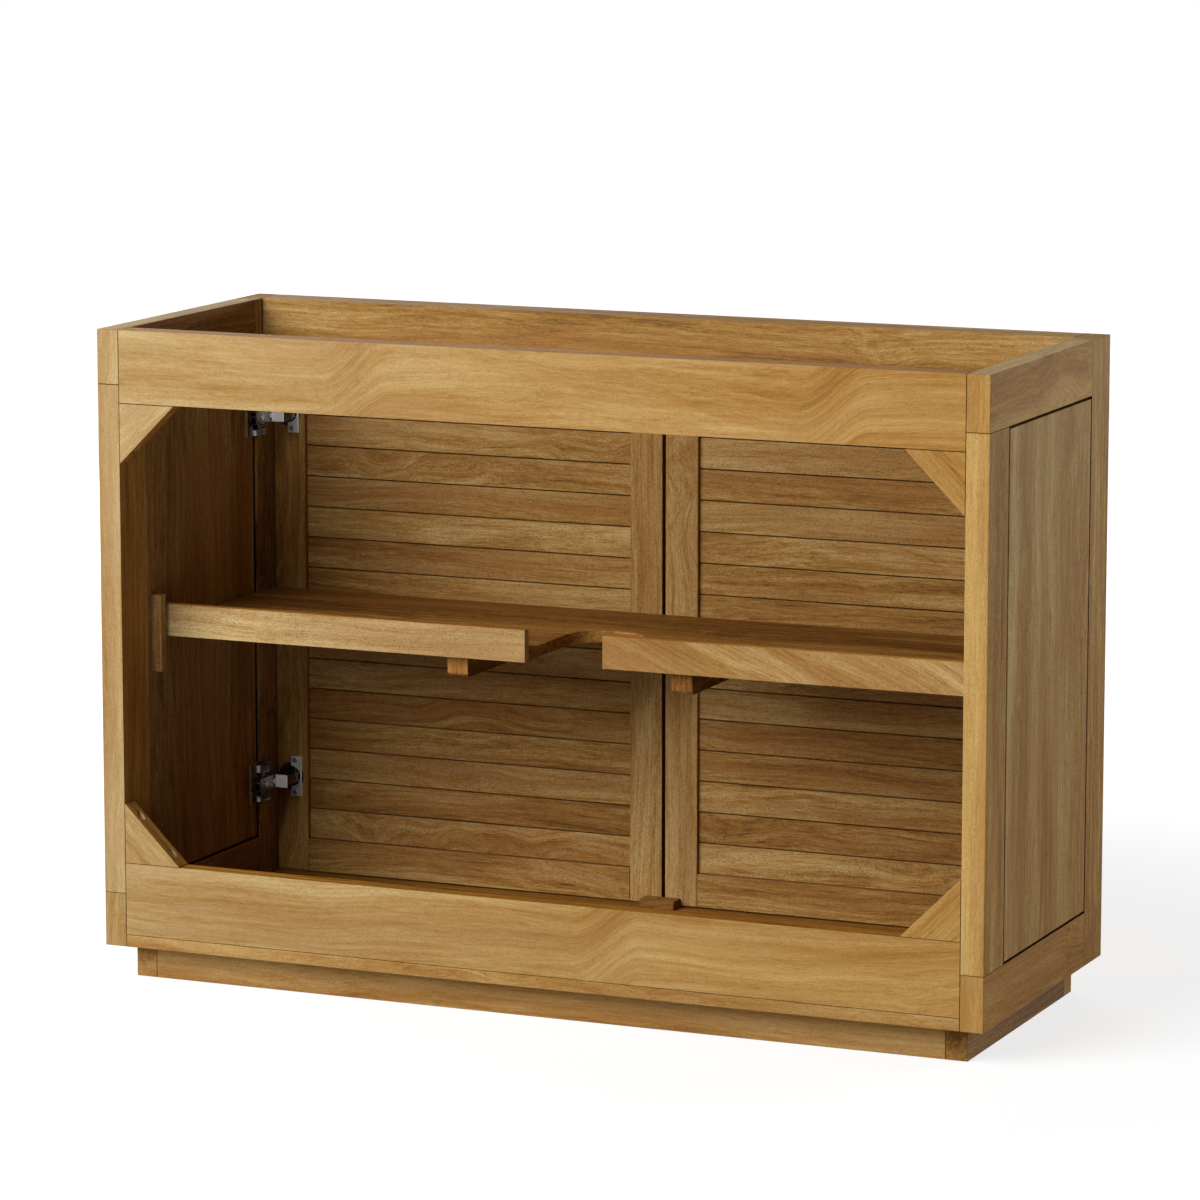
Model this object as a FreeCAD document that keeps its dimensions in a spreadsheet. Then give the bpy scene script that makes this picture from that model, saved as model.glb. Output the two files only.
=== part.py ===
import FreeCAD, Part
import os
import re
import Sketcher

# Louvred vanity base cabinet, open at the top and at the back, in millimetres.
# +X is the right-hand side seen from the front, -Y is the front, +Z is up.
# The origin is on the floor, under the middle of the cabinet.

DRIVING = {
    # the whole cabinet
    "cabinet_width": 1219.2,
    "cabinet_depth": 460.8,
    "body_height": 813.7,
    "plinth_height": 45,
    "plinth_inset": 30,
    "plinth_board": 29,
    "arris": 0.8,
    "fine_arris": 0.5,
    "fit": 0.2,
    "hole_fit": 0.1,
    # side frames and their panels
    "frame_thick": 30.5,
    "stile_width": 71,
    "frame_rail_width": 71,
    "panel_thick": 26.2,
    "panel_gap": 3.4,
    "tongue_thick": 8,
    "tongue_depth": 6,
    "groove_set": 11,
    # boards and rails across the cabinet
    "board_thick": 16,
    "rear_rail_width": 95,
    "rear_rail_thick": 32.4,
    "low_rail_width": 96,
    "low_rail_thick": 26,
    "face_rail_width": 71,
    "stretcher_width": 95,
    "stretcher_thick": 29.1,
    # corner gussets
    "gusset_leg": 80,
    "gusset_thick": 26,
    "gusset_hole": 17,
    "gusset_seat": 8,
    "counterbore": 11,
    # wood screws
    "screw_head": 9,
    "screw_head_high": 3,
    "screw_shank": 4,
    "screw_bite": 22,
    # doors
    "door_thick": 21,
    "door_side_gap": 1.7,
    "door_bottom_gap": 2.4,
    "door_top_gap": 3,
    "door_clear": 0.3,
    "door_stile_width": 46,
    "door_rail_width": 44.9,
    "meeting_gap": 3,
    "meeting_bevel": 1,
    # louvre slats
    "slat_count": 15,
    "slat_gap": 1.7,
    "slat_recess": 6,
    "slat_thin": 5,
    "slat_deep": 11,
    "slat_step": 6,
    "slat_lap": 4,
    "slat_tongue": 6,
    # door stop
    "stop_width": 50,
    "stop_depth": 24,
    "stop_height": 12.2,
    "stop_screw_head": 8,
    "stop_seat": 7,
    "stop_bite": 10,
    # shelf
    "shelf_height": 398.5,
    "shelf_thick": 15,
    "shelf_set_back": 4.4,
    "notch_width": 108,
    "notch_straight": 115.5,
    "lip_thick": 12.5,
    "lip_height": 42.5,
    "lip_drop": 1,
    "batten_width": 28.5,
    "batten_height": 29.5,
    "batten_place": 142.5,
    "batten_back": 4.5,
    "batten_front": 10,
    "batten_round": 7,
    "dowel": 8,
    "dowel_bite": 14,
    "dowel_front": 22,
    "dowel_rear": 60,
    "cleat_thick": 15,
    "cleat_depth": 12.5,
    "cleat_height": 102,
    "cleat_gap": 7.5,
    "cleat_clear": 17.4,
    "cleat_drop": 46,
    # concealed hinges: heights, packer, mounting plate and arm
    "hinge_low": 150,
    "hinge_high": 157.7,
    "packer_depth": 23,
    "packer_height": 55,
    "plate_set": 33.4,
    "plate_depth": 42,
    "plate_height": 54,
    "plate_thick": 2,
    "clip_height": 14,
    "clip_depth": 28,
    "clip_set": 9,
    "clip_rise": 11,
    "spine_rise": 6,
    "spine_height": 14,
    "arm_rise": 17,
    "arm_length": 50,
    "arm_height": 18,
    "arm_wall": 1.5,
    "crank_width": 18,
    "crank_height": 17.5,
    "crank_thick": 6,
    "nose_width": 12,
    "nose_height": 12,
    "nose_clear": 0.5,
    "hinge_screw_head": 7,
    "hinge_screw_high": 1.5,
    "hinge_screw_shank": 3,
    "hinge_screw_bite": 12,
    "plate_screw_apart": 32,
    "plate_screw_set": 4.5,
    "arm_screw_front": 10,
    "arm_screw_apart": 24,
    # concealed hinges: cup, flange and links
    "cup_diameter": 35,
    "cup_edge": 21,
    "cup_depth": 11.5,
    "cup_wall": 3,
    "cup_floor": 1,
    "cup_rim": 1.5,
    "cup_rim_thick": 1,
    "flange_width": 16,
    "flange_height": 56,
    "flange_thick": 2,
    "flange_edge": 37.4,
    "cup_screw_apart": 44.8,
    "cup_screw_edge": 27.4,
    "cup_screw_bite": 9,
    "link_width": 9,
    "link_height": 12,
    "link_pin": 3,
    "link_pin_length": 26.6,
    "link_pin_deep": 5,
    "link_pin_set": 4,
}

# Places that several pieces share, as formulas of the sheet's names.
HALF = "(cabinet_width / 2)"
INNER = "(cabinet_width / 2 - frame_thick)"
FRONT = "(0 - cabinet_depth / 2)"
REAR = "(cabinet_depth / 2)"
BASE = "plinth_height"
TOP = "(plinth_height + body_height)"
OPEN_DEPTH = "(cabinet_depth - 2 * stile_width)"
OPEN_HEIGHT = "(body_height - 2 * frame_rail_width)"
REACH = "(tongue_depth + fit)"
GROOVE_X = "(frame_thick - groove_set - tongue_thick - fit)"
GROOVE_WIDE = "(tongue_thick + 2 * fit)"
GUSSET_Y = "(cabinet_depth / 2 - gusset_thick / 2)"
GUSSET_LOW = "(plinth_height + board_thick + low_rail_width)"
GUSSET_HIGH = "(plinth_height + body_height - rear_rail_width)"
SCREW_AWAY = "(gusset_leg - gusset_hole)"
PILOT = "(screw_shank + 2 * hole_fit)"
DOOR_BACK = "(door_thick - cabinet_depth / 2)"
DOOR_LOW = "(plinth_height + board_thick + door_bottom_gap)"
DOOR_HIGH = "(body_height - board_thick - door_bottom_gap - face_rail_width - door_top_gap)"
DOOR_OUTER = "(cabinet_width / 2 - frame_thick - door_side_gap)"
LOUVRE_LOW = "(meeting_gap / 2 + meeting_bevel + door_stile_width)"
LOUVRE_WIDE = f"({DOOR_OUTER} - door_stile_width - {LOUVRE_LOW})"
LOUVRE_HIGH = f"({DOOR_HIGH} - 2 * door_rail_width)"
SLAT_BACK = "(door_thick - slat_recess)"
SLAT_HIGH = f"({LOUVRE_HIGH} / slat_count - slat_gap)"
SHELF_LOW = "(plinth_height + shelf_height)"
SHELF_FRONT = f"({DOOR_BACK} + shelf_set_back)"
SHELF_REAR = f"({REAR} - stile_width - cleat_clear - cleat_depth - cleat_gap - lip_thick)"
SHELF_DEEP = f"({SHELF_REAR} - {SHELF_FRONT})"
HINGE_APART = "(body_height - hinge_low - hinge_high)"
HINGE_Z = "(plinth_height + hinge_low)"
PLATE_Y = f"({DOOR_BACK} + plate_set)"
CUP_X = f"({DOOR_OUTER} - cup_edge)"
CUP_HOLLOW = "(cup_diameter - 2 * cup_wall)"
HINGE_PILOT = "(hinge_screw_shank + 2 * hole_fit)"

POINTING = {
    "+x": FreeCAD.Rotation(FreeCAD.Vector(0, 1, 0), 90),
    "-x": FreeCAD.Rotation(FreeCAD.Vector(0, 1, 0), -90),
    "+y": FreeCAD.Rotation(FreeCAD.Vector(1, 0, 0), -90),
    "-y": FreeCAD.Rotation(FreeCAD.Vector(1, 0, 0), 90),
    "+z": FreeCAD.Rotation(),
    "-z": FreeCAD.Rotation(FreeCAD.Vector(1, 0, 0), 180),
}

document = FreeCAD.newDocument("louvred_cabinet")
sheet = document.addObject("Spreadsheet::Sheet", "Sizes")
for row, (alias, value) in enumerate(DRIVING.items(), 1):
    sheet.set(f"A{row}", alias)
    sheet.set(f"B{row}", str(value))
    sheet.setAlias(f"B{row}", alias)
document.recompute()

kept = []


def formula(text):
    """The expression for a formula that uses the sheet's names."""
    return re.sub(r"[a-z_]{3,}", r"Sizes.\g<0>", text)


def bind(thing, size, text):
    thing.setExpression(size, formula(text))


def put(thing, place, pointing="+z"):
    """Places a body or a feature, with its own +Z turned to the way it points."""
    thing.Placement = FreeCAD.Placement(FreeCAD.Vector(), POINTING[pointing])
    for axis, text in zip("xyz", place):
        bind(thing, f"Placement.Base.{axis}", text)


def keep(piece, name):
    piece.Label = name
    kept.append(piece)
    return piece


def body(name, place):
    piece = document.addObject("PartDesign::Body", name)
    piece.AllowCompound = True
    put(piece, place)
    return piece


def box(piece, size, place, kind="Additive"):
    feature = piece.newObject(f"PartDesign::{kind}Box", f"{piece.Name}_box")
    for side, text in zip(("Length", "Width", "Height"), size):
        bind(feature, side, text)
    put(feature, place)
    return feature


def rod(piece, across, length, place, pointing, kind="Subtractive"):
    """A bore, or with kind Additive a pin, from its start point along the way it points."""
    feature = piece.newObject(f"PartDesign::{kind}Cylinder", f"{piece.Name}_rod")
    bind(feature, "Radius", f"({across}) / 2")
    bind(feature, "Height", length)
    put(feature, place, pointing)
    return feature


def profile(piece, plane, corners, length, backwards=False):
    """Pads a straight-sided outline whose corners are tied to the sheet."""
    sketch = piece.newObject("Sketcher::SketchObject", f"{piece.Name}_outline")
    planes = [feature for feature in piece.Origin.OriginFeatures if feature.Role == plane]
    sketch.AttachmentSupport = (planes[0], [""])
    sketch.MapMode = "FlatFace"
    points = []
    for across, up in corners:
        u = sheet.evalExpression(formula(across))
        v = sheet.evalExpression(formula(up))
        points.append(FreeCAD.Vector(float(u), float(v), 0))
    for start, end in zip(points, points[1:] + points[:1]):
        sketch.addGeometry(Part.LineSegment(start, end))
    for line in range(len(points)):
        following = (line + 1) % len(points)
        sketch.addConstraint(Sketcher.Constraint("Coincident", line, 2, following, 1))
    for line, (point, corner) in enumerate(zip(points, corners)):
        for way, value, text in zip(("DistanceX", "DistanceY"), point, corner):
            tie = sketch.addConstraint(Sketcher.Constraint(way, -1, 1, line, 1, value))
            sketch.setExpression(f"Constraints[{tie}]", formula(text))
    pad = piece.newObject("PartDesign::Pad", f"{piece.Name}_pad")
    pad.Profile = sketch
    pad.Reversed = backwards
    bind(pad, "Length", length)
    return pad


def ease(piece, feature, radius="arris", edges=None):
    """Rounds a feature's edges: all of them, or the ones that are named."""
    document.recompute()
    fillet = piece.newObject("PartDesign::Fillet", f"{piece.Name}_eased")
    fillet.Base = (feature, edges or ["Edge1"])
    fillet.UseAllEdges = edges is None
    bind(fillet, "Radius", radius)
    document.recompute()
    return fillet


def board(name, size, place, radius="arris"):
    piece = body(name, place)
    ease(piece, box(piece, size, ("0", "0", "0")), radius)
    return piece


def pair(piece):
    """Repeats a lower hinge's piece at the upper hinge."""
    document.recompute()
    pattern = piece.newObject("PartDesign::LinearPattern", f"{piece.Name}_pair")
    upright = [feature for feature in piece.Origin.OriginFeatures if feature.Role == "Z_Axis"]
    pattern.Direction = (upright[0], [""])
    pattern.TransformMode = "Whole shape"
    bind(pattern, "Length", HINGE_APART)
    pattern.Occurrences = 2
    piece.Tip = pattern
    return piece


def mirror(source, name):
    """The other side's copy, mirrored in the cabinet's middle plane."""
    copy = document.addObject("Part::Mirroring", name)
    copy.Source = source
    copy.Normal = FreeCAD.Vector(1, 0, 0)
    return copy


def both_sides(source, name):
    """Keeps a right-hand piece and its mirror image as two nodes."""
    keep(source, name.format("right"))
    keep(mirror(source, f"{source.Name}_mirrored"), name.format("left"))


def compound(name, pieces):
    together = document.addObject("Part::Compound", name)
    together.Links = pieces
    return together


def group(name, pieces):
    return keep(compound(name, pieces), name)


def copy_to(source, place, pointing):
    link = document.addObject("App::Link", f"{source.Name}_copy")
    link.LinkedObject = source
    put(link, place, pointing)
    return link


def screw(name, head, head_high, shank, length):
    """A cross-headed screw that points down, with its seat at its own origin."""
    piece = body(name, ("0", "0", "0"))
    rod(piece, shank, length, ("0", "0", "0"), "-z", "Additive")
    rod(piece, head, head_high, ("0", "0", "0"), "+z", "Additive")
    long = f"({head} * 0.6)"
    thin = f"({head} * 0.14)"
    deep = f"({head_high} * 0.5)"
    box(piece, (long, thin, deep), (f"0 - {long} / 2", f"0 - {thin} / 2", deep), "Subtractive")
    box(piece, (thin, long, deep), (f"0 - {thin} / 2", f"0 - {long} / 2", deep), "Subtractive")
    return piece


def side_frames():
    """Five-piece side frames: a panel held by its tongue in grooved stiles and rails."""
    stile = board("side_front_stile", ("frame_thick", "stile_width", "body_height"),
                  (INNER, FRONT, BASE))
    box(stile, (GROOVE_WIDE, REACH, f"{OPEN_HEIGHT} + 2 * {REACH}"),
        (GROOVE_X, f"stile_width - {REACH}", f"frame_rail_width - {REACH}"), "Subtractive")
    rod(stile, "dowel + 2 * hole_fit", "dowel_bite + fit",
        ("0", "door_thick + shelf_set_back + dowel_front", "shelf_height + shelf_thick / 2"), "+x")
    for up in ("0", HINGE_APART):
        for way in ("-", "+"):
            rod(stile, HINGE_PILOT, "hinge_screw_bite",
                ("0", "door_thick + plate_set + plate_screw_set",
                 f"hinge_low + {up} {way} plate_screw_apart / 2"), "+x")
    both_sides(stile, "side_{}_front_stile")

    stile = board("side_rear_stile", ("frame_thick", "stile_width", OPEN_HEIGHT),
                  (INNER, f"{REAR} - stile_width", f"{BASE} + frame_rail_width"))
    box(stile, (GROOVE_WIDE, REACH, OPEN_HEIGHT), (GROOVE_X, "0", "0"), "Subtractive")
    for level in (f"{GUSSET_LOW} + {SCREW_AWAY}", f"{GUSSET_HIGH} - {SCREW_AWAY}"):
        rod(stile, PILOT, "screw_bite",
            ("0", "stile_width - gusset_thick / 2", f"{level} - {BASE} - frame_rail_width"), "+x")
    both_sides(stile, "side_{}_rear_stile")

    long = "cabinet_depth - stile_width"
    for level, low, groove in (("top", f"{TOP} - frame_rail_width", "0"),
                               ("bottom", BASE, f"frame_rail_width - {REACH}")):
        rail = board(f"side_{level}_rail", ("frame_thick", long, "frame_rail_width"),
                     (INNER, f"{FRONT} + stile_width", low))
        box(rail, (GROOVE_WIDE, f"{OPEN_DEPTH} + {REACH}", REACH), (GROOVE_X, "0", groove),
            "Subtractive")
        both_sides(rail, "side_{}_" + level + "_rail")

    panel = board("side_panel", ("panel_thick", f"{OPEN_DEPTH} - 2 * panel_gap",
                                 f"{OPEN_HEIGHT} - 2 * panel_gap"),
                  (f"{HALF} - panel_thick", f"{FRONT} + stile_width + panel_gap",
                   f"{BASE} + frame_rail_width + panel_gap"))
    box(panel, ("tongue_thick", f"{OPEN_DEPTH} + 2 * tongue_depth",
                f"{OPEN_HEIGHT} + 2 * tongue_depth"),
        ("panel_thick - groove_set - tongue_thick", "0 - panel_gap - tongue_depth",
         "0 - panel_gap - tongue_depth"))
    rod(panel, "dowel + 2 * hole_fit", "dowel_bite + fit - frame_thick + panel_thick",
        ("0", f"{SHELF_REAR} - dowel_rear - {FRONT} - stile_width - panel_gap",
         "shelf_height + shelf_thick / 2 - frame_rail_width - panel_gap"), "+x")
    both_sides(panel, "side_{}_panel")


def rails_and_boards():
    """The boards that run across between the side frames."""
    width = f"2 * {INNER}"
    rail = board("rear_top_rail", (width, "rear_rail_thick", "rear_rail_width"),
                 (f"0 - {INNER}", f"{REAR} - rear_rail_thick", GUSSET_HIGH))
    low = board("rear_bottom_rail", (width, "low_rail_thick", "low_rail_width"),
                (f"0 - {INNER}", f"{REAR} - low_rail_thick", f"{BASE} + board_thick"))
    for along in (SCREW_AWAY, f"2 * {INNER} - {SCREW_AWAY}"):
        rod(rail, PILOT, "screw_bite", (along, "rear_rail_thick - gusset_thick / 2", "0"), "+z")
        rod(low, PILOT, "screw_bite",
            (along, "low_rail_thick - gusset_thick / 2", "low_rail_width"), "-z")
    keep(rail, "rear_top_rail")
    keep(low, "rear_bottom_rail")

    bottom = board("bottom_board", (width, "cabinet_depth", "board_thick"),
                   (f"0 - {INNER}", FRONT, BASE))
    rod(bottom, PILOT, "stop_bite",
        (INNER, "door_thick + door_clear + stop_depth / 2", "board_thick"), "-z")
    keep(bottom, "bottom_board")

    keep(board("front_face_rail", (width, "door_thick + door_clear", "face_rail_width"),
               (f"0 - {INNER}", FRONT, f"{TOP} - face_rail_width")), "front_face_rail")
    keep(board("front_stretcher", (width, "stretcher_thick", "stretcher_width"),
               (f"0 - {INNER}", f"{DOOR_BACK} + door_clear", f"{TOP} - stretcher_width")),
         "front_stretcher")


def gussets():
    """Triangular corner blocks flush with the back, each held by two counterbored screws."""
    fastener = screw("gusset_screw", "screw_head", "screw_head_high", "screw_shank",
                     "gusset_seat + screw_bite")
    copies = []
    for level, corner, up in (("bottom", GUSSET_LOW, "+"), ("top", GUSSET_HIGH, "-")):
        piece = body(f"gusset_{level}", (INNER, f"{REAR} - gusset_thick", corner))
        pad = profile(piece, "XZ_Plane",
                      [("0", "0"), ("0 - gusset_leg", "0"), ("0", f"0 {up} gusset_leg")],
                      "gusset_thick", backwards=True)
        ease(piece, pad)
        middle = "gusset_thick / 2"
        away = f"0 {up} {SCREW_AWAY}"
        seat = f"0 {up} gusset_seat"
        rod(piece, "counterbore", "gusset_leg", ("0 - gusset_seat", middle, away), "-x")
        rod(piece, PILOT, "gusset_seat", ("0 - gusset_seat", middle, away), "+x")
        rod(piece, "counterbore", "gusset_leg", (f"0 - {SCREW_AWAY}", middle, seat), up + "z")
        rod(piece, PILOT, "gusset_seat", (f"0 - {SCREW_AWAY}", middle, "0"), up + "z")
        both_sides(piece, "gusset_{}_" + level)
        for side, inward in (("+", "-x"), ("-", "+x")):
            copies.append(copy_to(fastener, (f"0 {side} ({INNER} - gusset_seat)", GUSSET_Y,
                                             f"{corner} {up} {SCREW_AWAY}"), inward))
            copies.append(copy_to(fastener, (f"0 {side} ({INNER} - {SCREW_AWAY})", GUSSET_Y,
                                             f"{corner} {up} gusset_seat"), up + "z"))
    group("gusset_screws", copies)


def door_stop():
    """The block on the bottom board that both doors close against, and its screw."""
    block = board("door_stop", ("stop_width", "stop_depth", "stop_height"),
                  ("0 - stop_width / 2", f"{DOOR_BACK} + door_clear", f"{BASE} + board_thick"))
    middle = ("stop_width / 2", "stop_depth / 2")
    rod(block, "stop_screw_head + 2 * hole_fit", "stop_height", middle + ("stop_seat",), "+z")
    rod(block, PILOT, "stop_height", middle + ("0",), "+z")
    keep(block, "door_stop")
    fastener = screw("stop_screw", "stop_screw_head", "screw_head_high", "screw_shank",
                     "stop_seat + stop_bite")
    place = ("0", f"{DOOR_BACK} + door_clear + stop_depth / 2",
             f"{BASE} + board_thick + stop_seat")
    put(fastener, place)
    keep(fastener, "door_stop_screw")


def shelf():
    """The shelf with its plumbing notch, rear lips, battens, dowels and cleats."""
    plank = board("shelf_board", (f"2 * {INNER}", SHELF_DEEP, "shelf_thick"),
                  (f"0 - {INNER}", SHELF_FRONT, SHELF_LOW))
    box(plank, ("notch_width", "notch_straight", "shelf_thick"),
        (f"{INNER} - notch_width / 2", f"{SHELF_DEEP} - notch_straight", "0"), "Subtractive")
    rod(plank, "notch_width", "shelf_thick", (INNER, f"{SHELF_DEEP} - notch_straight", "0"), "+z")
    dowel = body("shelf_dowel", ("0", "0", "0"))
    rod(dowel, "dowel", "2 * dowel_bite", ("0", "0", "0 - dowel_bite"), "+z", "Additive")
    dowels = []
    for along in ("dowel_front", f"{SHELF_DEEP} - dowel_rear"):
        for start, pointing, side in (("0", "+x", "-"), (f"2 * {INNER}", "-x", "+")):
            rod(plank, "dowel + 2 * hole_fit", "dowel_bite + fit",
                (start, along, "shelf_thick / 2"), pointing)
            dowels.append(copy_to(dowel, (f"0 {side} {INNER}", f"{SHELF_FRONT} + {along}",
                                          f"{SHELF_LOW} + shelf_thick / 2"), "+x"))
    keep(plank, "shelf_board")
    group("shelf_dowels", dowels)

    lip = board("shelf_lip", (f"{INNER} - notch_width / 2", "lip_thick", "lip_height"),
                ("notch_width / 2", SHELF_REAR, f"{SHELF_LOW} - lip_drop"))
    group("shelf_lips", [lip, mirror(lip, "shelf_lip_mirrored")])

    batten = body("shelf_batten", ("batten_place", f"{SHELF_FRONT} + batten_front",
                                   f"{SHELF_LOW} - batten_height"))
    long = f"{SHELF_DEEP} - batten_front - batten_back"
    blank = box(batten, ("batten_width", long, "batten_height"), ("0", "0", "0"))
    document.recompute()
    rounded = []
    for number, edge in enumerate(blank.Shape.Edges, 1):
        centre = edge.CenterOfMass
        if centre.y > 0.99 * blank.Width.Value and centre.z < 0.01 * blank.Height.Value:
            rounded.append(f"Edge{number}")
    ease(batten, blank, "batten_round", rounded)
    group("shelf_battens", [batten, mirror(batten, "shelf_batten_mirrored")])

    cleat = board("shelf_cleat", ("cleat_thick", "cleat_depth", "cleat_height"),
                  (f"{HALF} - panel_thick - cleat_thick",
                   f"{SHELF_REAR} + lip_thick + cleat_gap", f"{SHELF_LOW} - cleat_drop"))
    group("shelf_cleats", [cleat, mirror(cleat, "shelf_cleat_mirrored")])


def plinth():
    """The recessed plinth: the front board runs full width, the rear one fits between."""
    outer = f"({HALF} - plinth_inset)"
    front = f"({FRONT} + plinth_inset)"
    keep(board("plinth_front", (f"2 * {outer}", "plinth_board", BASE),
               (f"0 - {outer}", front, "0")), "plinth_front")
    keep(board("plinth_rear", (f"2 * {outer} - 2 * plinth_board", "plinth_board", BASE),
               (f"plinth_board - {outer}", f"{REAR} - plinth_inset - plinth_board", "0")),
         "plinth_rear")
    side = board("plinth_side", ("plinth_board", "cabinet_depth - 2 * plinth_inset - plinth_board",
                                 BASE),
                 (f"{outer} - plinth_board", f"{front} + plinth_board", "0"))
    both_sides(side, "plinth_{}")


def door_frames():
    """Door stiles and rails: grooved for the slats, with the meeting edges bevelled back."""
    groove = ("slat_tongue + fit", "slat_thin + 2 * fit", LOUVRE_HIGH)
    groove_y = f"{SLAT_BACK} - slat_thin - fit"
    stile = board("door_hinge_stile", ("door_stile_width", "door_thick", DOOR_HIGH),
                  (f"{DOOR_OUTER} - door_stile_width", FRONT, DOOR_LOW))
    box(stile, groove, ("0", groove_y, "door_rail_width"), "Subtractive")
    for up in ("0", HINGE_APART):
        level = f"{HINGE_Z} + {up} - {DOOR_LOW}"
        rod(stile, "cup_diameter + 2 * hole_fit", "cup_depth + fit",
            ("door_stile_width - cup_edge", "door_thick", level), "-y")
        for way in ("-", "+"):
            rod(stile, HINGE_PILOT, "cup_screw_bite",
                ("door_stile_width - cup_screw_edge", "door_thick",
                 f"{level} {way} cup_screw_apart / 2"), "-y")
    both_sides(stile, "door_{}_hinge_stile")

    stile = body("door_meeting_stile", ("meeting_gap / 2", FRONT, DOOR_LOW))
    wide = "door_stile_width + meeting_bevel"
    pad = profile(stile, "XY_Plane",
                  [("0", "0"), (wide, "0"), (wide, "door_thick"), ("meeting_bevel", "door_thick")],
                  DOOR_HIGH)
    ease(stile, pad)
    box(stile, groove, (f"{wide} - slat_tongue - fit", groove_y, "door_rail_width"), "Subtractive")
    both_sides(stile, "door_{}_meeting_stile")

    rail = board("door_bottom_rail", (LOUVRE_WIDE, "door_thick", "door_rail_width"),
                 (LOUVRE_LOW, FRONT, DOOR_LOW))
    drip = "(slat_lap - slat_gap / 2)"
    box(rail, (LOUVRE_WIDE, "slat_deep - slat_step + 2 * fit", f"{drip} + fit"),
        ("0", f"{SLAT_BACK} - slat_deep - fit", f"door_rail_width - {drip} - fit"), "Subtractive")
    both_sides(rail, "door_{}_bottom_rail")
    rail = board("door_top_rail", (LOUVRE_WIDE, "door_thick", "door_rail_width"),
                 (LOUVRE_LOW, FRONT, f"{DOOR_LOW} + {DOOR_HIGH} - door_rail_width"))
    box(rail, (LOUVRE_WIDE, "slat_deep - slat_step", "slat_lap + arris"),
        ("0", f"{SLAT_BACK} - slat_deep", f"0 - {drip}"))
    both_sides(rail, "door_{}_top_rail")


def louvres():
    """Slats with a flat back and a sloping front, each lapped over the one below."""
    slats = body("door_slats", (LOUVRE_LOW, FRONT, f"{DOOR_LOW} + door_rail_width + slat_gap / 2"))
    back = SLAT_BACK
    profile(slats, "YZ_Plane",
            [(f"{back} - slat_step", "0"), (f"{back} - fine_arris", "0"), (back, "fine_arris"),
             (back, f"{SLAT_HIGH} - fine_arris"), (f"{back} - fine_arris", SLAT_HIGH),
             (f"{back} - slat_thin", SLAT_HIGH), (f"{back} - slat_deep", "0 - slat_lap"),
             (f"{back} - slat_step", "0 - slat_lap")], LOUVRE_WIDE)
    box(slats, (f"{LOUVRE_WIDE} + 2 * slat_tongue", "slat_thin - fine_arris",
                f"{SLAT_HIGH} - 2 * fine_arris"),
        ("0 - slat_tongue", f"{back} - slat_thin", "fine_arris"))
    document.recompute()
    rows = slats.newObject("PartDesign::LinearPattern", "slat_rows")
    upright = [feature for feature in slats.Origin.OriginFeatures if feature.Role == "Z_Axis"]
    rows.Direction = (upright[0], [""])
    rows.TransformMode = "Whole shape"
    bind(rows, "Length", f"{LOUVRE_HIGH} * (slat_count - 1) / slat_count")
    bind(rows, "Occurrences", "slat_count")
    slats.Tip = rows
    both_sides(slats, "door_{}_slats")


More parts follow.
